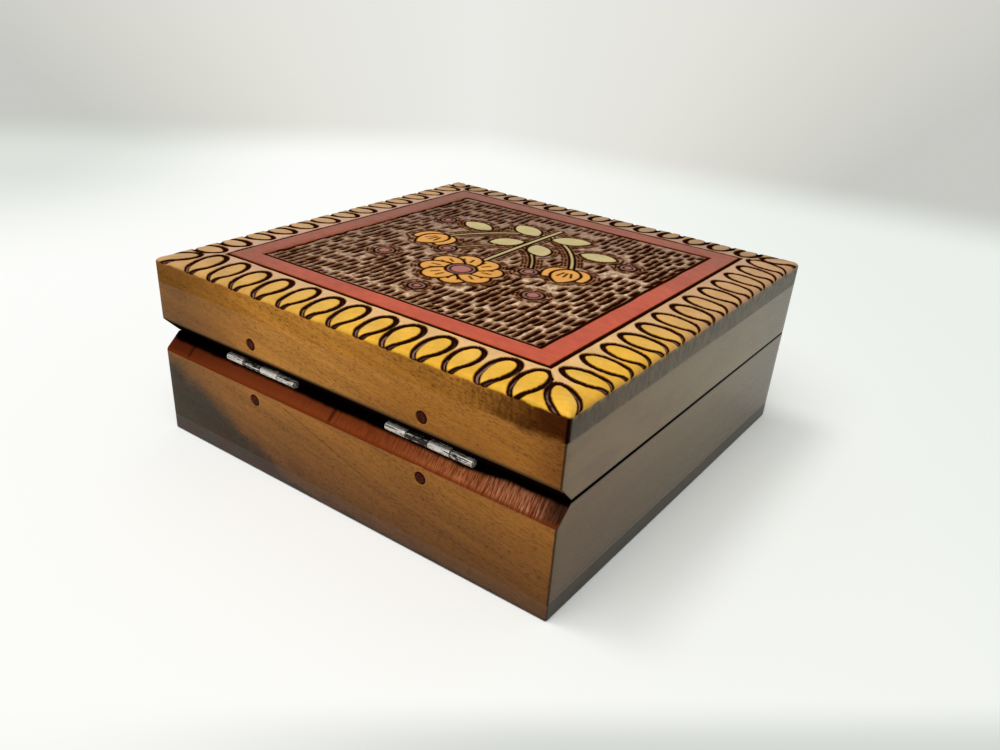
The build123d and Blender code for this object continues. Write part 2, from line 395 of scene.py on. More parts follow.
def edge_profile():
    """Rows of the border from the joint with the walls up over the edge and in to the stripe.

    Each row gives how far in from the side it is, its height, how far along the surface from the
    edge line it is, and which way the surface faces there.
    """
    rows = []
    for height in np.linspace(lid_wall_top, edge_line, skirt_rows, endpoint=False):
        rows.append((0.0, height, height - edge_line, 1.0, 0.0))
    travelled = 0.0
    last = (0.0, edge_line)
    for angle in np.linspace(0, math.pi / 2, round_rows):
        spot = (round_width * (1 - math.cos(angle)), edge_line + round_height * math.sin(angle))
        travelled += math.dist(spot, last)
        out = math.cos(angle) / round_width
        up = math.sin(angle) / round_height
        size = math.hypot(out, up)
        rows.append((*spot, travelled, out / size, up / size))
        last = spot
    span = half - stripe_outer - round_width
    for share in np.linspace(0, 1, flat_rows + 1)[1:]:
        height = edge_line + round_height + border_rise * share
        rows.append((round_width + span * share, height, travelled + span * share, 0.0, 1.0))
    return np.array(rows)


# Marks of points that are out of sight in the board: unburnt, and stained like its sides
HIDDEN_MARKS = {"burn": 3, "core": 0, "skirt": 1}

SIDES = (("back", (0, 1)), ("left", (-1, 0)), ("front", (0, -1)), ("right", (1, 0)))

# The hand-burnt loops of each side: shift along it, lean in degrees, half width, how pointed the
# foot and the inner end are, where the foot is, length, and the width of the burnt line
LOOPS = {
    "back": (0.6, -2.5, 3.35, 0.85, 0.5, -0.7, 13.7, 1.5),
    "left": (1.7, 3.0, 3.3, 0.8, 0.55, -1.0, 13.9, 1.4),
    "front": (0.0, 0.0, 3.2, 0.55, 0.55, 0.9, 12.0, 1.7),
    "right": (0.6, 0.0, 3.2, 0.55, 0.55, 0.9, 12.0, 1.6),
}


def petal_marks(side, along, surface, corner_u, corner_v):
    """Groove depth, distance to its edge, whether a point is inside a loop, and how strong the painted
    highlight along the groove's middle is.
    """
    shift, lean, half_width, foot, inner, start, full_length, line = LOOPS[side]
    paths = []
    for index in range(petals_per_side):
        length = full_length + rng.uniform(-0.4, 0.4)
        width = half_width + rng.uniform(-0.2, 0.2)
        middle = (index - (petals_per_side - 1) / 2) * petal_pitch + shift + rng.uniform(-0.3, 0.3)
        path = turned(lobe(length, width, foot, inner), (middle, start), lean + rng.uniform(-2.0, 2.0))
        # Painted highlight: on one arm of each loop at the back, stronger on the first five at the left,
        # and on the corner loops
        glint_share = 0.0
        if side == "back":
            glint_share = 0.2 + 0.8 * smooth_step(middle - along, -0.6, 0.6)
        elif side == "left":
            glint_share = 0.9 if index < 5 else 0.4
        paths.append((path, along, surface, glint_share))
    closed_foot = 2.6 if side in ("front", "right") else 0.0
    path = turned(lobe(corner_petal_length - closed_foot, 3.3, 0.6, 0.5), (0, -1.5 + closed_foot), 0)
    paths.append((path, corner_u, corner_v, 0.8 if side in ("back", "left") else 0.2))
    depth = np.zeros_like(along)
    core = np.zeros_like(along)
    edge = np.full(along.shape, 5.0)
    inside = np.zeros(along.shape, dtype=bool)
    for path, across, inward, glint_share in paths:
        width = line * rng.uniform(0.88, 1.08)
        distance = path_distance(across, inward, path, reach=3.0)
        depth = np.maximum(depth, mark_depth(distance, width, petal_groove_depth))
        edge = np.minimum(edge, distance - width / 2)
        core = np.where(distance < width / 2, np.maximum(core, glint_share * smooth_step(inward, 13.5, 9)), core)
        inside |= path_inside(across, inward, path)
    return depth, edge, inside, core


def far_shade_and_sheen(x, y):
    """0 near the back corner at -x and 1 far from it: how much painted shade and painted sheen turn the
    paints paler and browner.
    """
    return smooth_step(np.hypot(x + 40, y - 45), 25, 125)


def ring_row(reach, round_radius, count):
    """Along and outward places of one row on one side, with its half of each rounded corner."""
    along = reach * np.linspace(-1, 1, count, endpoint=False)
    over = np.abs(along) - (reach - round_radius)
    turning = over > 0
    angle = np.where(turning, over / max(round_radius, 1e-6) * math.pi / 4, 0)
    bent_along = np.sign(along) * (reach - round_radius + round_radius * np.sin(angle))
    bent_out = reach - round_radius + round_radius * np.cos(angle)
    return np.where(turning, bent_along, along), np.where(turning, bent_out, reach)


def carved_border():
    """The board's sides, rounded edge and border of loops, with a pocket for the middle."""
    profile = edge_profile()
    _, heights, surfaces, facing_out, facing_up = profile.T[..., None]
    count = points_per_side
    rows = len(profile)
    points, outward_all = np.zeros((2, rows, 4 * count, 3))
    depth_all, burn_all, inside_all, core_all = np.zeros((4, rows, 4 * count))
    for side_index, (side, out_dir) in enumerate(SIDES):
        out_dir = np.array(out_dir, dtype=float)
        along_dir = np.array([-out_dir[1], out_dir[0]])
        part = slice(side_index * count, (side_index + 1) * count)
        along, outward = np.zeros((2, rows, count))
        for row, (inset, _, travelled, _, _) in enumerate(profile):
            radius = corner_round * (1 - max(travelled, 0) / profile[-1, 2])
            along[row], outward[row] = ring_row(half - inset, radius, count)
        surface = np.repeat(surfaces, count, axis=1)
        other = np.interp(half - np.abs(along), profile[skirt_rows:, 0], profile[skirt_rows:, 2])
        corner_u = (other - surface) / math.sqrt(2)
        corner_v = (other + surface) / math.sqrt(2)
        depth, edge, inside, core = petal_marks(side, along, surface, corner_u, corner_v)
        inside_all[:, part] = inside
        core_all[:, part] = core
        fade = smooth_step(surface, -0.6, 0.5)
        depth_all[:, part] = depth * (0.4 + 0.6 * smooth_step(surface, 1.0, 4.5)) * fade
        burn_all[:, part] = edge + (1 - fade) * 2
        points[:, part, :2] = along[..., None] * along_dir + outward[..., None] * out_dir
        points[:, part, 2] = heights
        outward_all[:, part, :2] = out_dir * facing_out[..., None]
        outward_all[:, part, 2] = facing_up
    x, y = points[..., 0], points[..., 1]
    line_depth, line_edge = stripe_lines(x, y)
    uneven = 0.05 * waves(x, y, 9, 11) + 0.03 * waves(x, y, 3.5, 12)
    on_top = smooth_step(surfaces, 0.3, 2.5)
    sink = np.maximum(depth_all, line_depth) + on_top * (paint_sink + uneven)
    points -= outward_all * sink[..., None]
    points[..., 2] = np.minimum(points[..., 2], board_top)
    burn_all = np.minimum(burn_all, line_edge)

    surface = np.repeat(surfaces, 4 * count, axis=1)
    # far: the share of painted shade and painted sheen, growing away from the back left corner
    far = far_shade_and_sheen(x, y)
    amber = blend_colours(AMBER, AMBER_FAR, far)
    cream = blend_colours(CREAM, CREAM_FAR, far)
    by_loop = smooth_step(waves(x, y, 16, 23), -0.4, 0.9)
    paint_inside = blend_colours(amber, blend_colours(AMBER_PALE, AMBER_FAR, far), 0.25 + 0.6 * by_loop)
    paint_outside = blend_colours(amber, cream, smooth_step(surface + waves(x, y, 8, 24), 4.5, 9.5))
    on_left = facing(x, y, -1, 0)
    rim_share = (0.15 + 0.5 * smooth_step(-y, -30, 20)) * smooth_step(surface, 8, 2)
    paint_outside = blend_colours(paint_outside, RIM_TAN, on_left * rim_share)
    tint = np.where(inside_all[..., None] > 0.5, paint_inside, paint_outside)
    # Painted shade: the left side's paint browner towards the front, and the front quarter of the lid
    # darker
    tint = blend_colours(tint, LEFT_SHADE_BROWN, on_left * smooth_step(-y, -42, 8) * 0.6)
    tint = tint * (1 - 0.3 * facing(x, y, 0, -1)[..., None])
    tint = tint * (1 + 0.08 * waves(x, y, 10, 21)[..., None] + 0.05 * waves(x, y, 2.4, 28)[..., None])
    to_back = smooth_step(y, half - 3, half - 0.5)
    ragged = (0.1 + 0.08 * to_back) * waves(x, y, 5, 22) + 0.08 * to_back * waves(x, y, 1.6, 27)
    skirt = 1 - smooth_step(surface + ragged, -0.1 + 0.25 * to_back, 0.25 + 0.45 * to_back)
    core = np.where(depth_all > line_depth, core_all, 0)

    ids = np.arange(rows * 4 * count).reshape(rows, 4 * count)
    following = np.roll(ids, -1, axis=1)
    quads = np.stack([ids[:-1], following[:-1], following[1:], ids[1:]], axis=-1)
    vertices, sides, low_rim = lowered_rim(points.reshape(-1, 3), ids[-1])
    faces = [*quads.reshape(-1, 4), *sides[:, ::-1], low_rim, ids[0][::-1]]
    return board_piece("lid_board_border", vertices, faces, tint, burn=burn_all, core=core, skirt=skirt)


def lowered_rim(vertices, rim):
    """Adds a rim's points again at the pocket's floor: all points, faces down to them, their numbers."""
    lower = vertices[rim]
    lower[:, 2] = board_top - pocket_depth
    low_rim = np.arange(len(vertices), len(vertices) + len(rim))
    sides = np.stack([rim, low_rim, np.roll(low_rim, -1), np.roll(rim, -1)], axis=-1)
    return np.vstack([vertices, lower]), sides, low_rim


def board_piece(name, vertices, faces, tint, **marks):
    """A piece of the lid board with its paint and marks. The points added last are out of sight."""
    piece = mesh_object(name, vertices, faces, sharp_angle=60)
    hidden = len(vertices) - tint.size // 3
    for label, values in marks.items():
        add_value(piece, label, np.append(values, np.full(hidden, HIDDEN_MARKS[label])))
    rgba = np.ones((len(vertices), 4), dtype=np.float32)
    rgba[:, :3] = np.vstack([tint.reshape(-1, 3), np.tile(CREAM, (hidden, 1))])
    layer = piece.data.attributes.new("tint", "FLOAT_COLOR", "POINT")
    layer.data.foreach_set("color", rgba.ravel())
    return piece


def place_dashes(shapes):
    """Burnt dashes of the ground in columns and rows, clear of the sprig: middle, half sizes and lean."""
    limit = stripe_inner - 0.8
    dashes = []
    for column in range(int(2 * limit / dash_column_pitch) + 1):
        x = -limit + 0.9 + column * dash_column_pitch
        for row in range(-1, int(2 * limit / dash_row_pitch) + 2):
            middle = -limit + 2.4 + row * dash_row_pitch + rng.uniform(-1.1, 1.1)
            middle += 1.0 * math.sin(x / 6.5 + row * 1.1) + 1.2 * (column % 2)
            reach = dash_length / 2 * rng.uniform(0.74, 1.06)
            low = max(middle - reach, -limit)
            high = min(middle + reach, limit)
            lean = rng.uniform(-0.1, 0.1)
            offset = rng.uniform(-0.2, 0.2)
            width = dash_width / 2 * rng.uniform(0.86, 1.1)
            if high - low > 1.6:
                dashes.append((x + offset, (low + high) / 2, width, (high - low) / 2, lean))
    dashes = np.array(dashes)
    x, y, _, length, lean = dashes.T
    shares = np.linspace(-0.8, 0.8, 5)[:, None]
    clear = clearance(x + shares * length * lean, y + shares * length, shapes)
    return dashes[clear.min(axis=0) > motif_margin]


def place_strokes(shapes):
    """Fine burnt strokes that follow the outlines of the sprig: start and end of each."""
    firsts, lasts = [], []
    for path, stroke, _ in shapes:
        runs = np.diff(path, axis=0)
        lengths = np.maximum(np.linalg.norm(runs, axis=1), 1e-6)
        travelled = np.concatenate([[0], np.cumsum(lengths)])
        for away in (1.15, 2.15):
            for start in np.arange(rng.uniform(0, 1.5), travelled[-1], 2.9):
                ends = []
                for at in (start, start + rng.uniform(1.5, 2.3)):
                    index = int(np.clip(np.searchsorted(travelled, at) - 1, 0, len(runs) - 1))
                    direction = runs[index] / lengths[index]
                    point = path[index] + direction * (at - travelled[index])
                    ends.append((point, np.array([direction[1], -direction[0]])))
                for sign in (-1, 1):
                    reach = sign * (away + (stroke or 0) + rng.uniform(-0.1, 0.1))
                    firsts.append(ends[0][0] + ends[0][1] * reach)
                    lasts.append(ends[1][0] + ends[1][1] * reach)
    firsts, lasts = np.array(firsts), np.array(lasts)
    spots = np.array([firsts, (firsts + lasts) / 2, lasts])
    clear = clearance(spots[..., 0], spots[..., 1], shapes)
    clear = np.minimum(clear, stripe_inner - 0.4 - np.abs(spots).max(axis=-1))
    keep = clear.min(axis=0) > 0.75
    return firsts[keep], lasts[keep]


def near_part(columns, rows, low, high):
    """The part of a grid between two corners."""
    return (
        slice(np.searchsorted(rows, low[1]), np.searchsorted(rows, high[1])),
        slice(np.searchsorted(columns, low[0]), np.searchsorted(columns, high[0])),
    )


def burn_ground(x, y, columns, rows, shapes):
    """Depth of the dashes and strokes and distance to their edges, over the grid of the field."""
    reach = square_reach(x, y)
    depth = smooth_step(stripe_inner - reach, 0.0, 0.8) * (ground_sink + 0.05 * waves(x, y, 2.6, 31))
    burn = np.full(x.shape, 3.0)
    for middle_x, middle_y, width, length, lean in place_dashes(shapes):
        middle = np.array([middle_x, middle_y])
        margin = np.array([1.9, length + 0.8])
        part = near_part(columns, rows, middle - margin, middle + margin)
        off_y = y[part] - middle_y
        off_x = x[part] - middle_x - lean * off_y
        round_off = np.sqrt((off_x / width) ** 2 + (off_y / length) ** 4)
        bowl = dash_depth * np.clip(1 - round_off ** 2, 0, 1) ** 0.8 + ground_sink
        depth[part] = np.maximum(depth[part], bowl)
        burn[part] = np.minimum(burn[part], (round_off - 1) * width + dash_slope)
    for first, last in zip(*place_strokes(shapes)):
        margin = 1.6
        part = near_part(columns, rows, np.minimum(first, last) - margin, np.maximum(first, last) + margin)
        distance = path_distance(x[part], y[part], np.array([first, last]), reach=margin)
        depth[part] = np.maximum(depth[part], mark_depth(distance, fine_width, stroke_depth) + ground_sink)
        burn[part] = np.minimum(burn[part], distance - fine_edge)
    return depth, burn


def carved_field():
    """The middle of the board: painted stripe, burnt ground and the sprig."""
    columns = np.linspace(-stripe_outer, stripe_outer, field_columns)
    rows = np.linspace(-stripe_outer, stripe_outer, field_rows)
    x, y = np.meshgrid(columns, rows)
    shapes = sprig_shapes()
    reach = square_reach(x, y)
    # far: the share of painted shade and painted sheen, growing away from the back left corner
    far = far_shade_and_sheen(x, y)
    depth, burn = burn_ground(x, y, columns, rows, shapes)
    ridge = blend_colours(RIDGE, RIDGE_FAR, far)
    # Painted highlight: small bright glints along the ridges, fewer by the stripe and the sprig
    rough = waves(x, y, 2.6, 33) + 0.8 * waves(x, y, 1.1, 37)
    spots = smooth_step(burn, 0.3, 0.5) * smooth_step(rough, -1.0, 1.0)
    spots = spots * (1 - 0.75 * smooth_step(reach, stripe_inner - 1.4, stripe_inner - 0.8))
    distances = [shape_distance(x, y, shape) for shape in shapes]
    spots = spots * (0.35 + 0.65 * smooth_step(np.minimum.reduce(distances), 1.5, 5.0))
    ridge = blend_colours(ridge, blend_colours(RIDGE_GLINT, RIDGE, far), spots)
    mottle = 0.06 * waves(x, y, 20, 34) + 0.07 * waves(x, y, 4, 36)
    stripe = blend_colours(RED, RED_FAR, far) * (1 + mottle[..., None])
    tint = blend_colours(ridge, stripe, smooth_step(reach, stripe_inner - 0.2, stripe_inner + 0.2))
    for shape, distance in zip(shapes, distances):
        inside = distance < 0
        line = np.abs(distance)
        shade = np.broadcast_to(shape[2], tint.shape)
        if shape[2] is MAUVE:
            shade = blend_colours(shade, MAUVE_RING, (line < berry_ring).astype(float))
            ring = np.where(inside, np.abs(line - berry_ring), 9.0)
            line = np.minimum(line, ring + 0.14)
        tint[inside] = (shade * (1 + 0.07 * waves(x, y, 8, 35)[..., None]))[inside]
        line_depth = mark_depth(line, motif_line_width, motif_line_depth)
        pillow = 0.12 * np.exp(-line / 0.9)
        burn = np.where(inside, line - motif_line_width / 2, np.minimum(burn, line - motif_line_width / 2))
        depth = np.where(inside, np.maximum(line_depth, pillow), np.maximum(depth, line_depth))
    for path in vein_paths():
        distance = path_distance(x, y, path, reach=2.0)
        burn = np.minimum(burn, distance - fine_edge)
        depth = np.maximum(depth, mark_depth(distance, fine_width, vein_depth))
    line_depth, line_edge = stripe_lines(x, y)
    burn = np.minimum(burn, line_edge)
    depth = np.maximum(depth, line_depth) + paint_sink
    top = np.stack([x, y, board_top - depth], axis=-1)

    ids = np.arange(x.size).reshape(x.shape)
    quads = np.stack([ids[:-1, :-1], ids[:-1, 1:], ids[1:, 1:], ids[1:, :-1]], axis=-1)
    rim = np.concatenate([ids[0, :-1], ids[:-1, -1], ids[-1, :0:-1], ids[:0:-1, 0]])
    vertices, sides, low_rim = lowered_rim(top.reshape(-1, 3), rim)
    faces = [*quads.reshape(-1, 4), *sides, low_rim[::-1]]
    plain = np.zeros(x.size)
    return board_piece("lid_board_middle", vertices, faces, tint, burn=burn, core=plain, skirt=plain)


# Walls

def lid_underside(y):
    """Height of the lid's lower face, which rises slowly to the groove and then along its bevel."""
    slow = seam + seam_gap * (y + half) / (groove_apex + half)
    steep = seam + seam_gap + lid_bevel * (y - groove_apex) / (half - groove_apex)
    return np.where(y <= groove_apex, slow, steep)


def base_rim(y):
    """Height of the base's upper face, which falls along the groove's lower bevel."""
    return np.where(y <= groove_apex, seam, seam - base_bevel * (y - groove_apex) / (half - groove_apex))


def wall_profile(ease, reaches_groove):
    """Section of a wall: how far out, height off the free edge, and whether it hangs on that edge.

    The last two numbers mark the darkened edge line and the inner face.
    """
    small = ease * 0.29
    rows = [
        (half, ease * 3, True, 0, 0),
        (half, ease, True, 0.6, 0),
        (half - small, small, True, 1, 0),
        (half - ease, 0, True, 0.5, 0),
        (half - ease * 2, 0, True, 0, 0),
    ]
    if reaches_groove:
        rows += [
            (groove_apex + 0.5, 0, True, 0, 0),
            (groove_apex + 0.12, 0, True, 0.3, 0),
            (groove_apex - 0.12, 0, True, 0.3, 0),
        ]
    return rows + [
        (wall_inner + ease, 0, True, 0, 0),
        (wall_inner + small, small, True, 0.4, 0.5),
        (wall_inner, ease, True, 0, 1),
        (wall_inner, 0, False, 0, 1),
        (half, 0, False, 0, 0),
    ]


# What the points of a wall are marked with
WALL_MARKS = ("edge_darkening", "inside", "corner")


def wall(name, side, is_base, materials):
    """One mitred wall of the base or the lid, its free edges eased and its outer corners rounded."""
    out_dir = np.array(dict(SIDES)[side], dtype=float)
    along_dir = np.array([-out_dir[1], out_dir[0]])
    rows = wall_profile(0.38 if is_base else 0.34, side != "front")
    centre = half - corner_round
    crease = np.array([groove_apex - 0.15, groove_apex, groove_apex + 0.15])
    regular = np.linspace(-centre, centre, 57)
    straight = np.unique(np.concatenate([regular, crease, -crease, [wall_inner, -wall_inner]]))
    mitre = math.pi / 4
    angles = np.linspace(0, mitre, 4)[1:]
    stations = [(-centre, -angle) for angle in angles[::-1]]
    stations += [(value, 0.0) for value in straight]
    stations += [(centre, angle) for angle in angles]
    vertices, marks = [], []
    for station, angle in stations:
        for out, lift, on_free_edge, edge_darkening, inner in rows:
            radius = out - centre
            if radius > 0:
                along = station + radius * math.sin(angle)
                reach = centre + radius * math.cos(angle)
            else:
                along = station + corner_round * math.sin(angle)
                along = math.copysign(min(abs(along), out), along)
                along = math.copysign(out, station) if abs(abs(angle) - mitre) < 1e-6 else along
                reach = out
            plan = along * along_dir + reach * out_dir
            if is_base:
                height = base_rim(plan[1]) - lift if on_free_edge else wall_bottom
            else:
                height = lid_underside(plan[1]) + lift if on_free_edge else lid_wall_top
            vertices.append((*plan, float(height)))
            marks.append((edge_darkening, inner, abs(angle) / mitre if radius > 0 else 0))
    edge_rows = range(1, [row[0] for row in rows].index(wall_inner) - 1)
    on_edge = [int(row in edge_rows) for row in range(len(rows))] * (len(stations) - 1)
    piece = mesh_object(name, vertices, loop_faces(len(stations), len(rows)))
    for label, values in zip(WALL_MARKS, zip(*marks)):
        add_value(piece, label, values)
    paint(piece, *materials)
    piece.data.polygons.foreach_set("material_index", [*on_edge, 0, 0])
    tidy_mesh(piece)
    return piece


def tidy_mesh(piece, sharp_angle=35):
    """Joins points that fall together, drops faces without area and turns all faces outwards."""
    work = bmesh.new()
    work.from_mesh(piece.data)
    bmesh.ops.remove_doubles(work, verts=work.verts, dist=2e-6)
    bmesh.ops.dissolve_degenerate(work, edges=work.edges, dist=1e-6)
    bmesh.ops.recalc_face_normals(work, faces=work.faces)
    work.to_mesh(piece.data)
    work.free()
    piece.data.set_sharp_from_angle(angle=math.radians(sharp_angle))


def loop_faces(loops, size, first=0):
    """Faces that join closed loops of points one after another and close both ends."""
    faces = []
    for start in range(first, first + (loops - 1) * size, size):
        for step in range(size):
            following = (step + 1) % size
            faces.append((start + step, start + following, start + size + following, start + size + step))
    faces.append([first + step for step in range(size)][::-1])
    faces.append([first + (loops - 1) * size + step for step in range(size)])
    return faces


def cut_nail_holes(piece, nails):
    """Cuts the seats of the nail heads into the back of a wall, flared a little at the face."""
    vertices, faces, spots = [], [], []
    for node in nails:
        low, high = low_high(node)
        centre_x, _, centre_z = (low + high) / 2
        head_width = high[0] - low[0]
        spots.append((centre_x, centre_z, head_width))
        radius = head_width / 2 + nail_play
        rings = ((-1.0, radius + 0.35), (0.0, radius + 0.16), (0.16, radius), (0.9, radius))
        faces += loop_faces(len(rings), round_steps, len(vertices))
        for depth, size in rings:
            for angle in round_angles:
                across = centre_x + size * math.cos(angle)
                vertices.append((across, half - depth, centre_z + size * math.sin(angle)))
    cutter = mesh_object("nail_cutter", vertices, faces)
    tidy_mesh(cutter)
    cut = piece.modifiers.new("holes", "BOOLEAN")
    cut.operation = "DIFFERENCE"
    cut.solver = "EXACT"
    cut.object = cutter
    depsgraph = bpy.context.evaluated_depsgraph_get()
    result = bpy.data.meshes.new_from_object(piece.evaluated_get(depsgraph))
    piece.modifiers.clear()
    piece.data = result
    bpy.data.objects.remove(cutter)
    for face in result.polygons:
        face.use_smooth = len(face.vertices) <= 4
    for vertex in result.vertices:
        x, y, z = vertex.co / MM
        near = [math.hypot(x - at_x, z - at_z) < reach for at_x, at_z, reach in spots]
        if y > half - 2 and any(near):
            for label in WALL_MARKS:
                result.attributes[label].data[vertex.index].value = 0
    piece.data.set_sharp_from_angle(angle=math.radians(35))


# Hinges and nails

def rolled_leaf(name, node, direction, first_knuckle):
    """One hinge leaf: a thin plate whose edge is rolled round the pin at every second knuckle."""
    low, high = low_high(node)
    pin_start, pin_end = low_high(name.split("_hinge")[0] + "_hinge_pin")
    outer = pin_radius + pin_play + leaf_thick
    pitch = (pin_end[0] - pin_start[0]) / len(knuckle_shine)
    angles = np.radians(np.linspace(180, -148, 42))
    vertices, faces, wear = [], [], []

    def add_loops(loops, shine):
        faces.extend(loop_faces(len(loops), len(loops[0]), len(vertices)))
        for loop in loops:
            vertices.extend(loop)
            wear.extend([shine] * len(loop))

    def section(x, shrink):
        ring = []
        for radius, way in ((outer - shrink, 1), (outer - leaf_thick + shrink, -1)):
            for angle in angles[::way]:
                y = axis_y + radius * math.cos(angle)
                ring.append((x, y, axis_z - direction * radius * math.sin(angle)))
        return ring

    for index in range(first_knuckle, len(knuckle_shine), 2):
        start = pin_start[0] + index * pitch + knuckle_gap / 2
        end = start + pitch - knuckle_gap
        ends = ((0.0, 1.0), (0.3, 0.3), (1.0, 0.0))
        stations = [(start + into * knuckle_ease, shrink * knuckle_ease) for into, shrink in ends]
        stations += [(start + (end - start) * share, 0) for share in (0.2, 0.4, 0.6, 0.8)]
        stations += [(end - into * knuckle_ease, shrink * knuckle_ease) for into, shrink in ends[::-1]]
        add_loops([section(x, shrink) for x, shrink in stations], knuckle_shine[index])
    plate_back = axis_y - outer
    plate_front = plate_back + leaf_thick
    far = high[2] if direction > 0 else low[2]
    for index in range(len(knuckle_shine)):
        own = (index - first_knuckle) % 2 == 0
        top = axis_z if own else axis_z + direction * (outer + 0.15)
        inset = knuckle_gap / 2 if own else 0
        start = pin_start[0] + index * pitch
        add_loops([
            [(x, plate_back, top), (x, plate_front, top), (x, plate_front, far), (x, plate_back, far)]
            for x in (start + inset, start + pitch - inset)
        ], leaf_shine)
    piece = mesh_object(name, vertices, faces, sharp_angle=40)
    add_value(piece, "shine", wear)
    tidy_mesh(piece, sharp_angle=40)
    return piece


def nail(name, node):
    """A nail with a slightly domed, dented head and a pointed shank."""
    low, high = low_high(node)
    centre_x, _, centre_z = (low + high) / 2
    head = (high[0] - low[0]) / 2
    length = high[1] - low[1]
    rows = (
        (0.0, 0.07), (0.5, 0.05), (0.95, 0.0), (1.25, 0.02), (1.5, 0.1), (head - 0.03, 0.22),
        (head, 0.34), (head, 0.6), (0.7, 0.62), (0.7, length - 1.6), (0.02, length),
    )
    vertices, rim = [], []
    for radius, depth in rows:
        for angle in round_angles:
            dent = 0.03 * abs(math.sin(2 * angle + centre_x)) * radius / head if depth < 0.5 else 0
            across = centre_x + radius * math.cos(angle)
            vertices.append((across, high[1] - depth - dent, centre_z + radius * math.sin(angle)))
            rim.append(radius / head)
    piece = mesh_object(name, vertices, loop_faces(len(rows), round_steps), sharp_angle=50)
    # How far out on the head each point is, which the nail's material turns into painted shade at the rim
    add_value(piece, "rim", rim)
    tidy_mesh(piece, sharp_angle=50)
    return piece


# Materials

class Wire:
    """A shader value, which plain arithmetic joins with others and with numbers."""

    def __init__(self, shader, socket):
        self.shader = shader
        self.socket = socket

    def __add__(self, other):
        return self.shader.math("ADD", self, other)

    def __sub__(self, other):
        return self.shader.math("SUBTRACT", self, other)

    def __mul__(self, other):
        return self.shader.math("MULTIPLY", self, other)

    def __truediv__(self, other):
        return self.shader.math("DIVIDE", self, other)

    def __abs__(self):
        return self.shader.math("ABSOLUTE", self, 0.0)

    def spread(self, low, high, to_low=0.0, to_high=1.0):
        """The value between low and high turned smoothly into one between two others."""
        made = self.shader.tree.nodes.new("ShaderNodeMapRange")
        made.interpolation_type = "SMOOTHSTEP"
        inputs = {"Value": self, "From Min": low, "From Max": high, "To Min": to_low, "To Max": to_high}
        return self.shader.fill(made, inputs, "Result")


class Shader:
    """A material whose nodes are made one call at a time. Its place is the point's on the part."""

    def __init__(self, name):
        self.material = bpy.data.materials.new(name)
        self.material.use_nodes = True
        self.tree = self.material.node_tree
        self.tree.nodes.clear()
        output = self.tree.nodes.new("ShaderNodeOutputMaterial")
        self.surface = self.tree.nodes.new("ShaderNodeBsdfPrincipled")
        self.tree.links.new(self.surface.outputs[0], output.inputs["Surface"])
        on_part = self.tree.nodes.new("ShaderNodeTexCoord").outputs["Object"]
        scaled = self.tree.nodes.new("ShaderNodeMapping")
        self.place = self.fill(scaled, {"Vector": Wire(self, on_part), "Scale": (1 / MM, 1 / MM, 1 / MM)})
        parts = self.tree.nodes.new("ShaderNodeSeparateXYZ")
        self.fill(parts, {0: self.place})
        self.x, self.y, self.z = [Wire(self, part) for part in parts.outputs]

    def put(self, value, socket):
        """Links a socket, or sets a plain number or colour."""
        if isinstance(value, Wire):
            self.tree.links.new(value.socket, socket)
        elif isinstance(value, (tuple, list, np.ndarray)):
            missing = len(socket.default_value) - len(value)
            socket.default_value = [*value] + [1.0] * missing
        else:
            socket.default_value = value

    def fill(self, made, inputs, result=0):
        """Sets or links inputs of a node and gives one of its outputs."""
        for key, value in inputs.items():
            self.put(value, made.inputs[key])
        return Wire(self, made.outputs[result])

    def math(self, operation, first, second):
        made = self.tree.nodes.new("ShaderNodeMath")
        made.operation = operation
        return self.fill(made, {0: first, 1: second})

    def reach(self):
        """How far out the point is, towards the nearest side."""
        return self.math("MAXIMUM", abs(self.x), abs(self.y))

    def mix(self, first, second, share, blend="MIX"):
        made = self.tree.nodes.new("ShaderNodeMix")
        made.data_type = "RGBA"
        made.blend_type = blend
        return self.fill(made, {"Factor": share, 6: first, 7: second}, 2)

    def coats(self, colour, *coats):
        """A colour with others laid over it in turn, each by its share."""
        for coat, share in coats:
            colour = self.mix(colour, coat, share)
        return colour

    def ramp(self, value, stops):
        """Colours along a value, from pairs of a place and a colour."""
        low, high = stops[0][0], stops[-1][0]
        along = self.tree.nodes.new("ShaderNodeMapRange")
        share = self.fill(along, {"Value": value, "From Min": low, "From Max": high}, "Result")
        made = self.tree.nodes.new("ShaderNodeValToRGB")
        elements = made.color_ramp.elements
        for at, _ in stops[1:-1]:
            elements.new((at - low) / (high - low))
        for element, (_, colour) in zip(elements, stops):
            element.color = (*colour, 1.0)
        return self.fill(made, {0: share}, "Color")

    def noise(self, lengths, detail=3.0, roughness=0.6, turn=(0.0, 0.0, 0.0), distortion=0.0):
        """Noise with features of given lengths along turned axes, or of so many to the millimetre."""
        vector, scale = self.place, lengths
        if not isinstance(lengths, float):
            turned_place = self.tree.nodes.new("ShaderNodeMapping")
            turned_place.vector_type = "TEXTURE"
            angles = [math.radians(angle) for angle in turn]
            inputs = {"Vector": self.place, "Scale": lengths, "Rotation": angles}
            vector, scale = self.fill(turned_place, inputs), 1.0
        inputs = {"Vector": vector, "Scale": scale, "Detail": detail, "Roughness": roughness}
        made = self.tree.nodes.new("ShaderNodeTexNoise")
        return self.fill(made, {**inputs, "Distortion": distortion}, "Fac")

    def value(self, name, result="Fac"):
        """What a mesh stores under a name."""
        made = self.tree.nodes.new("ShaderNodeAttribute")
        made.attribute_name = name
        return self.fill(made, {}, result)

    def bump(self, height, distance, strength=0.5):
        made = self.tree.nodes.new("ShaderNodeBump")
        return self.fill(made, {"Strength": strength, "Distance": distance * MM, "Height": height})

    def finish(self, colour, roughness, normal=None, **plain):
        self.put(colour, self.surface.inputs["Base Color"])
        self.put(roughness, self.surface.inputs["Roughness"])
        if normal is not None:
            self.put(normal, self.surface.inputs["Normal"])
        for label, value in plain.items():
            self.surface.inputs[label.replace("_", " ")].default_value = value
        return self.material
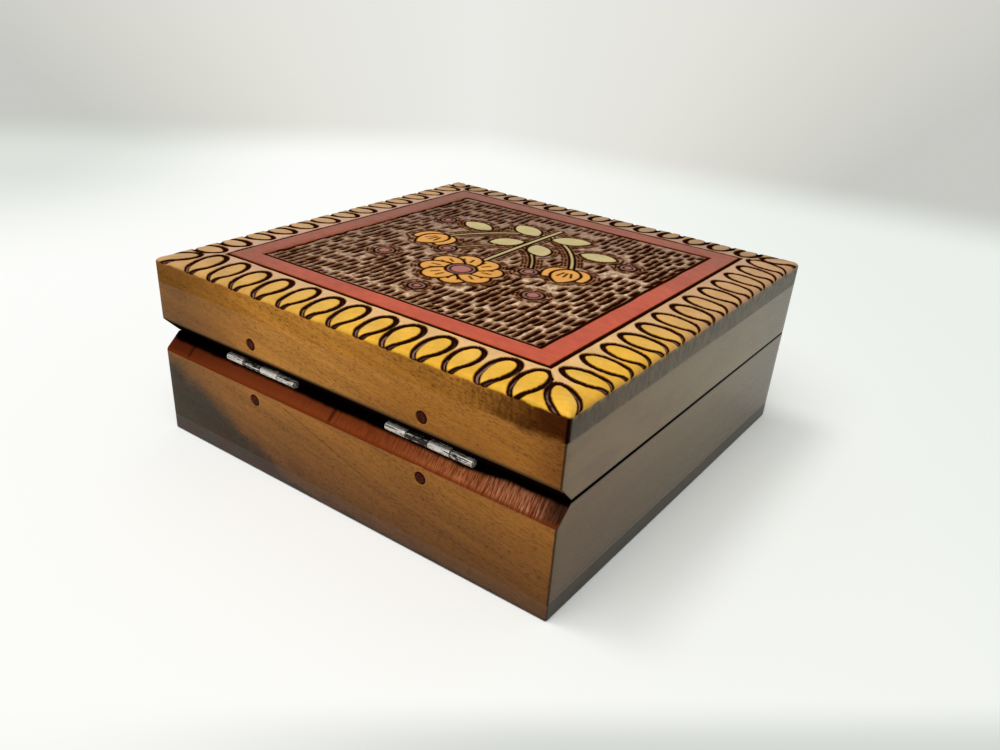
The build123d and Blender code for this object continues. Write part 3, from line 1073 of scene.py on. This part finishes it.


# Colour of the faces by height, darker low down, as the photograph shows it, on the back and front and on
# the two sides
BACK_BY_HEIGHT = colour_stops(
    (0, 92, 60, 28),
    (3, 104, 66, 28),
    (10, 132, 84, 36),
    (17, 148, 96, 40),
    (25, 174, 114, 46),
    (31, 170, 108, 42),
    (38, 166, 106, 38),
    (45, 186, 122, 46),
    (52, 196, 132, 56),
    (57, 190, 126, 54),
)
SIDE_BY_HEIGHT = colour_stops(
    (0, 44, 38, 22),
    (5.1, 60, 52, 30),
    (5.3, 96, 75, 30),
    (18, 103, 81, 32),
    (29, 118, 95, 42),
    (33, 134, 110, 58),
    (47.5, 132, 112, 66),
    (49.5, 108, 94, 60),
    (57, 102, 90, 60),
)
# Stain of the groove's lower bevel along the box
BEVEL_STAIN = colour_stops(
    (-68, 170, 104, 70),
    (-44, 172, 100, 58),
    (-15, 136, 64, 29),
    (40, 116, 52, 24),
    (68, 86, 34, 14),
)
# Painted shadow of the seam between base and lid
SEAM_SHADOW = srgb(13, 8, 5)
CORNER_BLACK = srgb(26, 7, 7)
# Dark red line along the base's back edge, and painted shade on the lid's rounded lower back edge
BASE_EDGE_RED = srgb(112, 48, 12)
LID_EDGE_SHADE = srgb(112, 86, 52)


def back_face(shader):
    """Colour of the back and front: darker low down, at the left end and by the lid's near corner, with
    painted shade along the bottom edge.
    """
    x, z = shader.x, shader.z
    soft = shader.noise(0.11) - 0.5
    on_back = shader.y.spread(half - 1.5, half - 1.0)
    middle = x.spread(-28, 4) * x.spread(44, 20) * on_back * z.spread(33, 38, 0.0, 0.5)
    near_end = x.spread(-58, -70, 0.0, 0.7) * z.spread(34, 40)
    near_corner = (z + soft * 5.0).spread(47.2, 50.2) * on_back * x.spread(-38, -67, 0.0, 0.95)
    slope = x - z * 2.3 + soft * 18.0
    dark_foot = slope.spread(3, 22, 0.0, 0.95) * z.spread(31.2, 28.5) * on_back
    scratch = abs(x * -0.32 + z - 19.3).spread(0.34, 0.1, 0.0, 0.5) * x.spread(-16, -10)
    patches = z.spread(13, 2) * x.spread(-30, 30, 0.25, 1.0) * soft.spread(-0.06, 0.12, 0.0, 0.7)
    return shader.coats(
        shader.ramp(z, BACK_BY_HEIGHT),
        (srgb(124, 82, 36), x.spread(24, 66, 0.0, 0.8)),
        (srgb(226, 158, 68), middle),
        (srgb(120, 66, 20), near_end),
        (srgb(72, 28, 6), near_corner),
        (srgb(56, 48, 32), dark_foot),
        (srgb(84, 46, 18), scratch * on_back * x.spread(21, 15)),
        (srgb(70, 34, 20), patches),
        # Painted shade along the bottom edge, where the wall meets the floor
        (srgb(42, 24, 16), (z + soft * 5.0).spread(1.6, 0.2, 0.0, 0.75)),
    )


def side_face(shader):
    """Colour of the two sides: grey brown, darker low down, with dark joint lines under and over the base's
    wall.
    """
    y, z = shader.y, shader.z
    colour = shader.coats(
        shader.ramp(z, SIDE_BY_HEIGHT),
        (srgb(102, 68, 34), shader.noise((12, 22, 7)).spread(0.45, 0.75, 0.0, 0.5)),
        (srgb(50, 38, 24), y.spread(46, 70, 0.0, 0.6) * z.spread(47.5, 49.5)),
    )
    warm = shader.mix(colour, (1.0, 0.84, 0.62), 1.0, "MULTIPLY")
    colour = shader.mix(colour, warm, y.spread(-30, 60) * z.spread(5.0, 5.6))
    far_end = y.spread(5, -25) * 0.8
    for height, width, strength in ((5.0, 0.3, 0.9), (6.6, 0.2, 0.55), (lid_wall_top, 0.24, far_end)):
        line = abs(z - height).spread(width * 1.6, width * 0.6)
        colour = shader.mix(colour, srgb(34, 24, 16), line * strength)
    return shader.mix(colour, srgb(84, 78, 62), y.spread(-30, -66, 0.0, 0.4))


def wood_grain(shader, colour, along, tilt=-10.0, depth=1.0, pore_depth=1.0):
    """Bands, streaks and short dark pores over a stain. Gives the colour and a height for bumps."""
    turn = (0.0, tilt, 0.0) if along == 0 else (tilt, 0.0, 0.0)

    def noise(long, across, *settings):
        return shader.noise([long if axis == along else across for axis in range(3)], *settings)

    bands = noise(70, 8, 2.0, 0.5, turn, 0.6)
    streaks = noise(13, 0.8, 3.0, 0.65, turn, 0.4)
    pores = noise(1.5, 0.34, 3.0, 0.6, turn)
    shade = bands.spread(0.3, 0.7, 0.9, 1.08) + streaks.spread(0.3, 0.7, -0.14, 0.12)
    colour = shader.mix(colour, (shade - 1.0) * depth + 1.0, 1.0, "MULTIPLY")
    most = pore_depth * depth
    mask = pores.spread(0.5, 0.66) * bands.spread(0.3, 0.65, 0.8 * most, 0.45 * most)
    colour = shader.mix(colour, shader.mix(colour, srgb(150, 118, 96), 1.0, "MULTIPLY"), mask)
    return colour, streaks * 0.35 - mask * 0.6


def bevel_face(shader):
    """Mahogany stain of the groove, with painted shadow turning it black towards its apex and on the lid's
    bevel, and tool marks near one end.
    """
    x = shader.x
    marks = shader.noise((0.38, 4, 4), 2.0, 0.7, (0.0, 0.0, 8.0))
    cracks = shader.noise((3.4, 60, 60), 1.0, 0.5)
    # How far under the lid's overhang a point lies, for the painted shadow
    under_lid_shadow = shader.y + shader.noise(0.22, 2.0, 0.5) * 0.7 + x.spread(-42, -56, 0.0, 0.9)
    lid_bevel_start = seam + seam_gap + 0.3
    return shader.coats(
        shader.ramp(x, BEVEL_STAIN),
        (srgb(82, 30, 17), marks.spread(0.42, 0.62) * x.spread(30, -62, 0.15, 0.8)),
        (srgb(206, 156, 128), marks.spread(0.44, 0.3) * x.spread(-20, -66, 0.0, 0.6)),
        (srgb(26, 12, 6), x.spread(-62, -68.5, 0.0, 0.85)),
        (srgb(52, 16, 8), cracks.spread(0.66, 0.72, 0.0, 0.7)),
        # Painted shadow: black towards the apex under the lid's overhang, and near black on the lid's
        # downward bevel
        (srgb(5, 1, 1), under_lid_shadow.spread(67.8, 66.9)),
        (srgb(22, 7, 4), shader.z.spread(lid_bevel_start, lid_bevel_start + 0.6)),
    )


def groove_material():
    """Free edges of the walls, stained dark brown with painted shadow black towards the seam and the
    groove's apex, and the groove at the back, with a matt finish.
    """
    shader = Shader("groove_wood")
    y = shader.y
    lengthways = (abs(shader.x) - abs(y)).spread(-0.1, 0.1)
    grain = shader.mix(shader.noise((14, 0.7, 2.0)), shader.noise((0.7, 14, 2.0)), lengthways)
    # Edge colour at the back: a dark red line on the base, painted shade on the lid's lower edge
    edge_darkening = shader.mix(BASE_EDGE_RED, LID_EDGE_SHADE, shader.z.spread(31, 33))
    colour = shader.coats(
        srgb(46, 26, 13),
        (srgb(92, 58, 30), grain.spread(0.34, 0.66)),
        # Painted shadow: black towards the outer edge of the rim and towards the groove's apex, where the
        # seam lies in shade
        (SEAM_SHADOW, shader.reach().spread(half - 3.6, half - 1.2)),
        (SEAM_SHADOW, y.spread(groove_apex - 3.4, groove_apex - 0.6)),
        (bevel_face(shader), y.spread(groove_apex - 0.4, groove_apex + 0.1)),
        (edge_darkening, shader.value("edge_darkening") * y.spread(half - 1.2, half - 0.7) * 0.9),
    )
    normal = shader.bump(shader.noise((3, 3, 0.4), 2.0), 0.04)
    return shader.finish(colour, 0.8, normal, Specular_IOR_Level=0.0)


def wall_material(name, along):
    """Stained and varnished wall: its face, its darkened edges, its inner face and dark corners, with
    painted shade and a painted highlight along the back's edges and painted shadow on the sides' edges.
    """
    shader = Shader(name)
    z = shader.z
    if along == 0:
        colour, height = wood_grain(shader, back_face(shader), along)
        at_back = shader.y.spread(half - 0.8, half - 0.2)
        # Painted highlight on the base's face just under its back edge, and painted shade on the lid's face
        # just above its lower back edge
        base_edge_highlight = z.spread(25.6, 26.9) * z.spread(27.4, 27.0) * at_back
        lid_edge_shade = z.spread(37.8, 36.9) * z.spread(33, 36) * at_back
        colour = shader.mix(colour, srgb(196, 140, 96), base_edge_highlight * 0.4)
        colour = shader.mix(colour, srgb(84, 60, 26), lid_edge_shade * 0.75)
        # Edge colour at the back: a dark red line on the base, painted shade on the lid's lower edge
        edge_darkening = shader.mix(BASE_EDGE_RED, LID_EDGE_SHADE, z.spread(31, 33))
        rough, bump, gloss = height.spread(-0.5, 0.4, 0.5, 0.38), 0.5, 0.1
    else:
        colour, height = wood_grain(shader, side_face(shader), along, 3.0, 0.45, 0.35)
        # Painted shadow: the sides' eased edges black where the seam lies in shade
        edge_darkening = SEAM_SHADOW
        rough, bump, gloss = height.spread(-0.5, 0.4, 0.36, 0.25), 0.25, 0.3
    inner, _ = wood_grain(shader, srgb(186, 138, 84), along, 0.0)
    colour = shader.coats(
        colour,
        (edge_darkening, shader.value("edge_darkening") * 0.9),
        (CORNER_BLACK, shader.value("corner")),
        (inner, shader.value("inside")),
    )
    return shader.finish(colour, rough, shader.bump(height, 0.06, bump), Specular_IOR_Level=gloss)


def board_material():
    """Bottom board: its edges are stained like the faces that they end, its underside is plain."""
    shader = Shader("stained_board")
    edge, height = wood_grain(shader, back_face(shader), 0)
    edge = shader.mix(edge, side_face(shader), abs(shader.x).spread(half - 0.45, half - 0.1))
    under, _ = wood_grain(shader, srgb(150, 104, 58), 0, 0.0)
    colour = shader.mix(under, edge, shader.reach().spread(half - 1.2, half - 0.7))
    return shader.finish(colour, 0.36, shader.bump(height, 0.06, 0.4), Specular_IOR_Level=0.2)


def carved_material(name, gloss):
    """Painted and burnt lid board, fading into stained wood round its sides."""
    shader = Shader(name)
    x, y, z = shader.x, shader.y, shader.z
    burn = shader.value("burn")
    streak = shader.noise((8, 0.7, 0.7))
    paint = shader.value("tint", "Color")
    paint = shader.mix(paint, (0.86, 0.72, 0.6), streak.spread(0.4, 0.75, 0.0, 0.3), "MULTIPLY")
    paint = shader.mix(paint, (1.0, 0.84, 0.7), shader.noise(0.5).spread(0.5, 0.72, 0.0, 0.5), "MULTIPLY")
    mottle = shader.noise((1.3, 1.3, 3.6), 3.0, 0.65).spread(0.38, 0.6, 0.75, 0.0)
    near_end = y.spread(half - 1.5, half - 1.0) * x.spread(-30, -60, 0.1, 0.8)
    below = z.spread(lid_wall_top + 0.3, lid_wall_top + 0.1) * shader.reach().spread(half - 0.5, half - 1)
    back, _ = wood_grain(shader, back_face(shader), 0)
    under, _ = wood_grain(shader, srgb(174, 126, 74), 0, 0.0)
    side = shader.mix(side_face(shader), srgb(52, 42, 30), mottle)
    narrow = shader.math("MINIMUM", abs(x), abs(y))
    stained = shader.coats(
        back,
        (srgb(70, 38, 18), mottle * near_end),
        (under, below),
        (side, abs(x).spread(half - 0.4, half - 0.05)),
        (CORNER_BLACK, narrow.spread(half - 0.9, half - 0.3)),
    )
    edge = burn + (shader.noise(1.9, 2.0) - 0.5) * 0.3
    # Painted highlight along the middle of the loops' burnt lines
    core = burn.spread(-0.38, -0.68) * shader.value("core") * shader.noise(0.28, 2.0, 0.5).spread(0.3, 0.5)
    colour = shader.coats(
        paint,
        (stained, shader.value("skirt")),
        (srgb(104, 52, 20), edge.spread(0.42, 0.0, 0.0, 0.65)),
        (shader.mix(CHAR, CHAR_GLINT, core), edge.spread(0.14, -0.1)),
    )
    rough = streak.spread(0.3, 0.7, 0.34, 0.46)
    return shader.finish(colour, rough, shader.bump(shader.noise(2.2), 0.05), Specular_IOR_Level=gloss)


def steel_material(name, shine=None):
    """Bright plated steel with dark pits and scratches along the knuckles."""
    shader = Shader(name)
    scratches = shader.noise((7.0, 0.3, 0.3), 2.0)
    shine = shader.value("shine") if shine is None else shine
    wear = scratches * 0.8 + shader.noise((1.1, 0.5, 0.5), 2.0) * 0.4 - shine * 0.24
    colour = shader.mix(srgb(236, 230, 220), srgb(34, 26, 20), wear.spread(0.41, 0.5))
    rough = scratches.spread(0.3, 0.7, 0.34, 0.55)
    return shader.finish(colour, rough, shader.bump(scratches, 0.05), Metallic=0.5)


def nail_material():
    """Nail heads stained dark with the wood, with painted shade that turns the rim black and leaves the
    middle lighter.
    """
    shader = Shader("nail_head")
    mottle = shader.noise(1.4)
    colour = shader.mix(srgb(100, 38, 24), srgb(56, 14, 9), mottle.spread(0.36, 0.54))
    # Painted shade: black at the rim of the head, where it sits in its hole
    colour = shader.mix(colour, srgb(24, 6, 5), shader.value("rim").spread(0.6, 0.98))
    return shader.finish(colour, 0.45, shader.bump(mottle, 0.1, 0.6), Specular_IOR_Level=0.04)


def seen_directly(tree):
    """1 for what the camera sees, also in metal and varnish, and 0 for light that bounces on."""
    path = tree.nodes.new("ShaderNodeLightPath")
    total = path.outputs["Is Camera Ray"]
    for label in ("Is Glossy Ray", "Is Transmission Ray"):
        node = tree.nodes.new("ShaderNodeMath")
        node.operation = "MAXIMUM"
        tree.links.new(total, node.inputs[0])
        tree.links.new(path.outputs[label], node.inputs[1])
        total = node.outputs[0]
    return total


def floor_material():
    """White studio floor, greyed by painted shade towards one side, at the far left and in a band nearer
    the camera; far off it runs up into a light grey backdrop, greyed outwards by painted shade as well.
    """
    shader = Shader("studio_floor")
    x, y = shader.x, shader.y
    aside = x * -0.8 + y * -0.6
    off = x * 0.57 + y * -0.82
    near = x * -0.64 + y * 0.77
    bent = off + abs(aside) * 0.22 + shader.math("MAXIMUM", aside, 0.0) * 0.35
    slant = abs(aside) / shader.math("MAXIMUM", off, 100.0)
    colour = shader.coats(
        FLOOR_BRIGHT,
        # Painted shade: greyer towards one side, at the far left and in a band nearer the camera, and the
        # backdrop greyer outwards
        (FLOOR_SIDE_SHADE, aside.spread(-60, 250)),
        (FLOOR_CORNER_SHADE, bent.spread(140, 360) * aside.spread(-120, -290)),
        (FLOOR_NEAR_SHADE, near.spread(121, 137) * aside.spread(-90, 20, 0.1, 1.0)),
        (shader.ramp(slant, BACKDROP), bent.spread(390, 560)),
    )
    colour = shader.mix(FLOOR_BOUNCE, colour, Wire(shader, seen_directly(shader.tree)))
    return shader.finish(colour, 0.9, Specular_IOR_Level=0.0)


def paint(piece, *materials):
    """Gives a piece its materials."""
    piece.data.materials.clear()
    for material in materials:
        piece.data.materials.append(material)


# Putting the model together

def mark_burnt(piece):
    """Gives the second material, which has no gloss, to burnt faces and to the board's back edge."""
    mesh = piece.data
    burn, skirt = np.zeros((2, len(mesh.vertices)), dtype=np.float32)
    mesh.attributes["burn"].data.foreach_get("value", burn)
    mesh.attributes["skirt"].data.foreach_get("value", skirt)
    spots = np.zeros(3 * len(mesh.vertices), dtype=np.float32)
    mesh.vertices.foreach_get("co", spots)
    burn[(skirt > 0.5) & (spots[1::3] / MM > half - 1.0)] = 0
    owner = np.zeros(len(mesh.loops), dtype=np.int32)
    mesh.loops.foreach_get("vertex_index", owner)
    starts = np.zeros(len(mesh.polygons), dtype=np.int32)
    mesh.polygons.foreach_get("loop_start", starts)
    lowest = np.minimum.reduceat(burn[owner], starts)
    mesh.polygons.foreach_set("material_index", (lowest < 0.05).astype(np.int32))


def build_lid_board():
    painted = carved_material("carved_lid", 0.22)
    burnt = carved_material("burnt_lid", 0.0)
    border = carved_border()
    middle = carved_field()
    for piece in (border, middle):
        paint(piece, painted, burnt)
        mark_burnt(piece)
        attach(piece, "lid")
        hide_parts("lid_top_board")


def build_walls():
    lengthways = wall_material("wall_back_front", 0)
    sideways = wall_material("wall_sides", 1)
    materials = {"back": lengthways, "left": sideways, "front": lengthways, "right": sideways}
    edge = groove_material()
    for body, is_base in (("base", True), ("lid", False)):
        for side, _ in SIDES:
            node = f"{body}_{side}_wall"
            piece = wall(f"{node}_dressed", side, is_base, (materials[side], edge))
            if side == "back":
                cut_nail_holes(piece, [f"left_{body}_nail", f"right_{body}_nail"])
            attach(piece, body)
            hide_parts(node)


def build_metal():
    steel = steel_material("hinge_steel")
    pin_steel = steel_material("pin_steel", 0.8)
    dark = nail_material()
    for end in ("left", "right"):
        for body, direction, first in (("base", -1, 0), ("lid", 1, 1)):
            node = f"{end}_hinge_{body}_leaf"
            leaf = rolled_leaf(f"{node}_rolled", node, direction, first)
            paint(leaf, steel)
            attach(leaf, body)
            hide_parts(node)
            node = f"{end}_{body}_nail"
            head = nail(f"{node}_domed", node)
            paint(head, dark)
            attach(head, body)
            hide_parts(node)
        paint(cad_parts[f"{end}_hinge_pin"], pin_steel)


def build_stage():
    """Floor, two soft lamps overhead and plain surroundings."""
    size = 60.0
    mesh = bpy.data.meshes.new("studio_floor")
    corners = [(-size, -size, 0), (size, -size, 0), (size, size, 0), (-size, size, 0)]
    mesh.from_pydata(corners, [], [(0, 1, 2, 3)])
    floor = bpy.data.objects.new("studio_floor", mesh)
    bpy.context.scene.collection.objects.link(floor)
    paint(floor, floor_material())

    world = bpy.data.worlds.new("studio")
    world.use_nodes = True
    tree = world.node_tree
    tree.nodes.clear()
    output = tree.nodes.new("ShaderNodeOutputWorld")
    choose = tree.nodes.new("ShaderNodeMixShader")
    tree.links.new(seen_directly(tree), choose.inputs[0])
    for socket, colour in ((1, (WORLD_LEVEL,) * 3), (2, BACKDROP[-1][1])):
        background = tree.nodes.new("ShaderNodeBackground")
        background.inputs["Color"].default_value = (*colour, 1.0)
        background.inputs["Strength"].default_value = 1.0
        tree.links.new(background.outputs[0], choose.inputs[socket])
    tree.links.new(choose.outputs[0], output.inputs["Surface"])
    bpy.context.scene.world = world

    for name, strength, spread, source in LAMPS:
        lamp = bpy.data.lights.new(name, "SUN")
        lamp.energy = strength
        lamp.angle = math.radians(spread)
        holder = bpy.data.objects.new(name, lamp)
        holder.rotation_euler = Vector(source).to_track_quat("Z", "Y").to_euler()
        bpy.context.scene.collection.objects.link(holder)


def build_camera():
    """The photograph's viewpoint, from a fit to the box's corners in it."""
    place = Vector((-0.14483, 0.20741, 0.13776))
    forward = Vector((0.50372, -0.71746, -0.48116)).normalized()
    right = Vector((-0.79924, -0.59844, 0.05562))
    right = (right - forward * right.dot(forward)).normalized()
    up = right.cross(forward)
    data = bpy.data.cameras.new("photo_view")
    data.sensor_width = 36
    data.lens = 31.0
    data.shift_x = 0.017
    data.shift_y = 0.048
    data.clip_start = 0.01
    camera = bpy.data.objects.new("photo_view", data)
    camera.matrix_world = Matrix((
        (right.x, up.x, -forward.x, place.x),
        (right.y, up.y, -forward.y, place.y),
        (right.z, up.z, -forward.z, place.z),
        (0, 0, 0, 1),
    ))
    bpy.context.scene.collection.objects.link(camera)
    bpy.context.scene.camera = camera


build_camera()
build_stage()
build_lid_board()
build_walls()
build_metal()
paint(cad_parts["bottom_board"], board_material())
bpy.context.scene.view_settings.view_transform = "Standard"
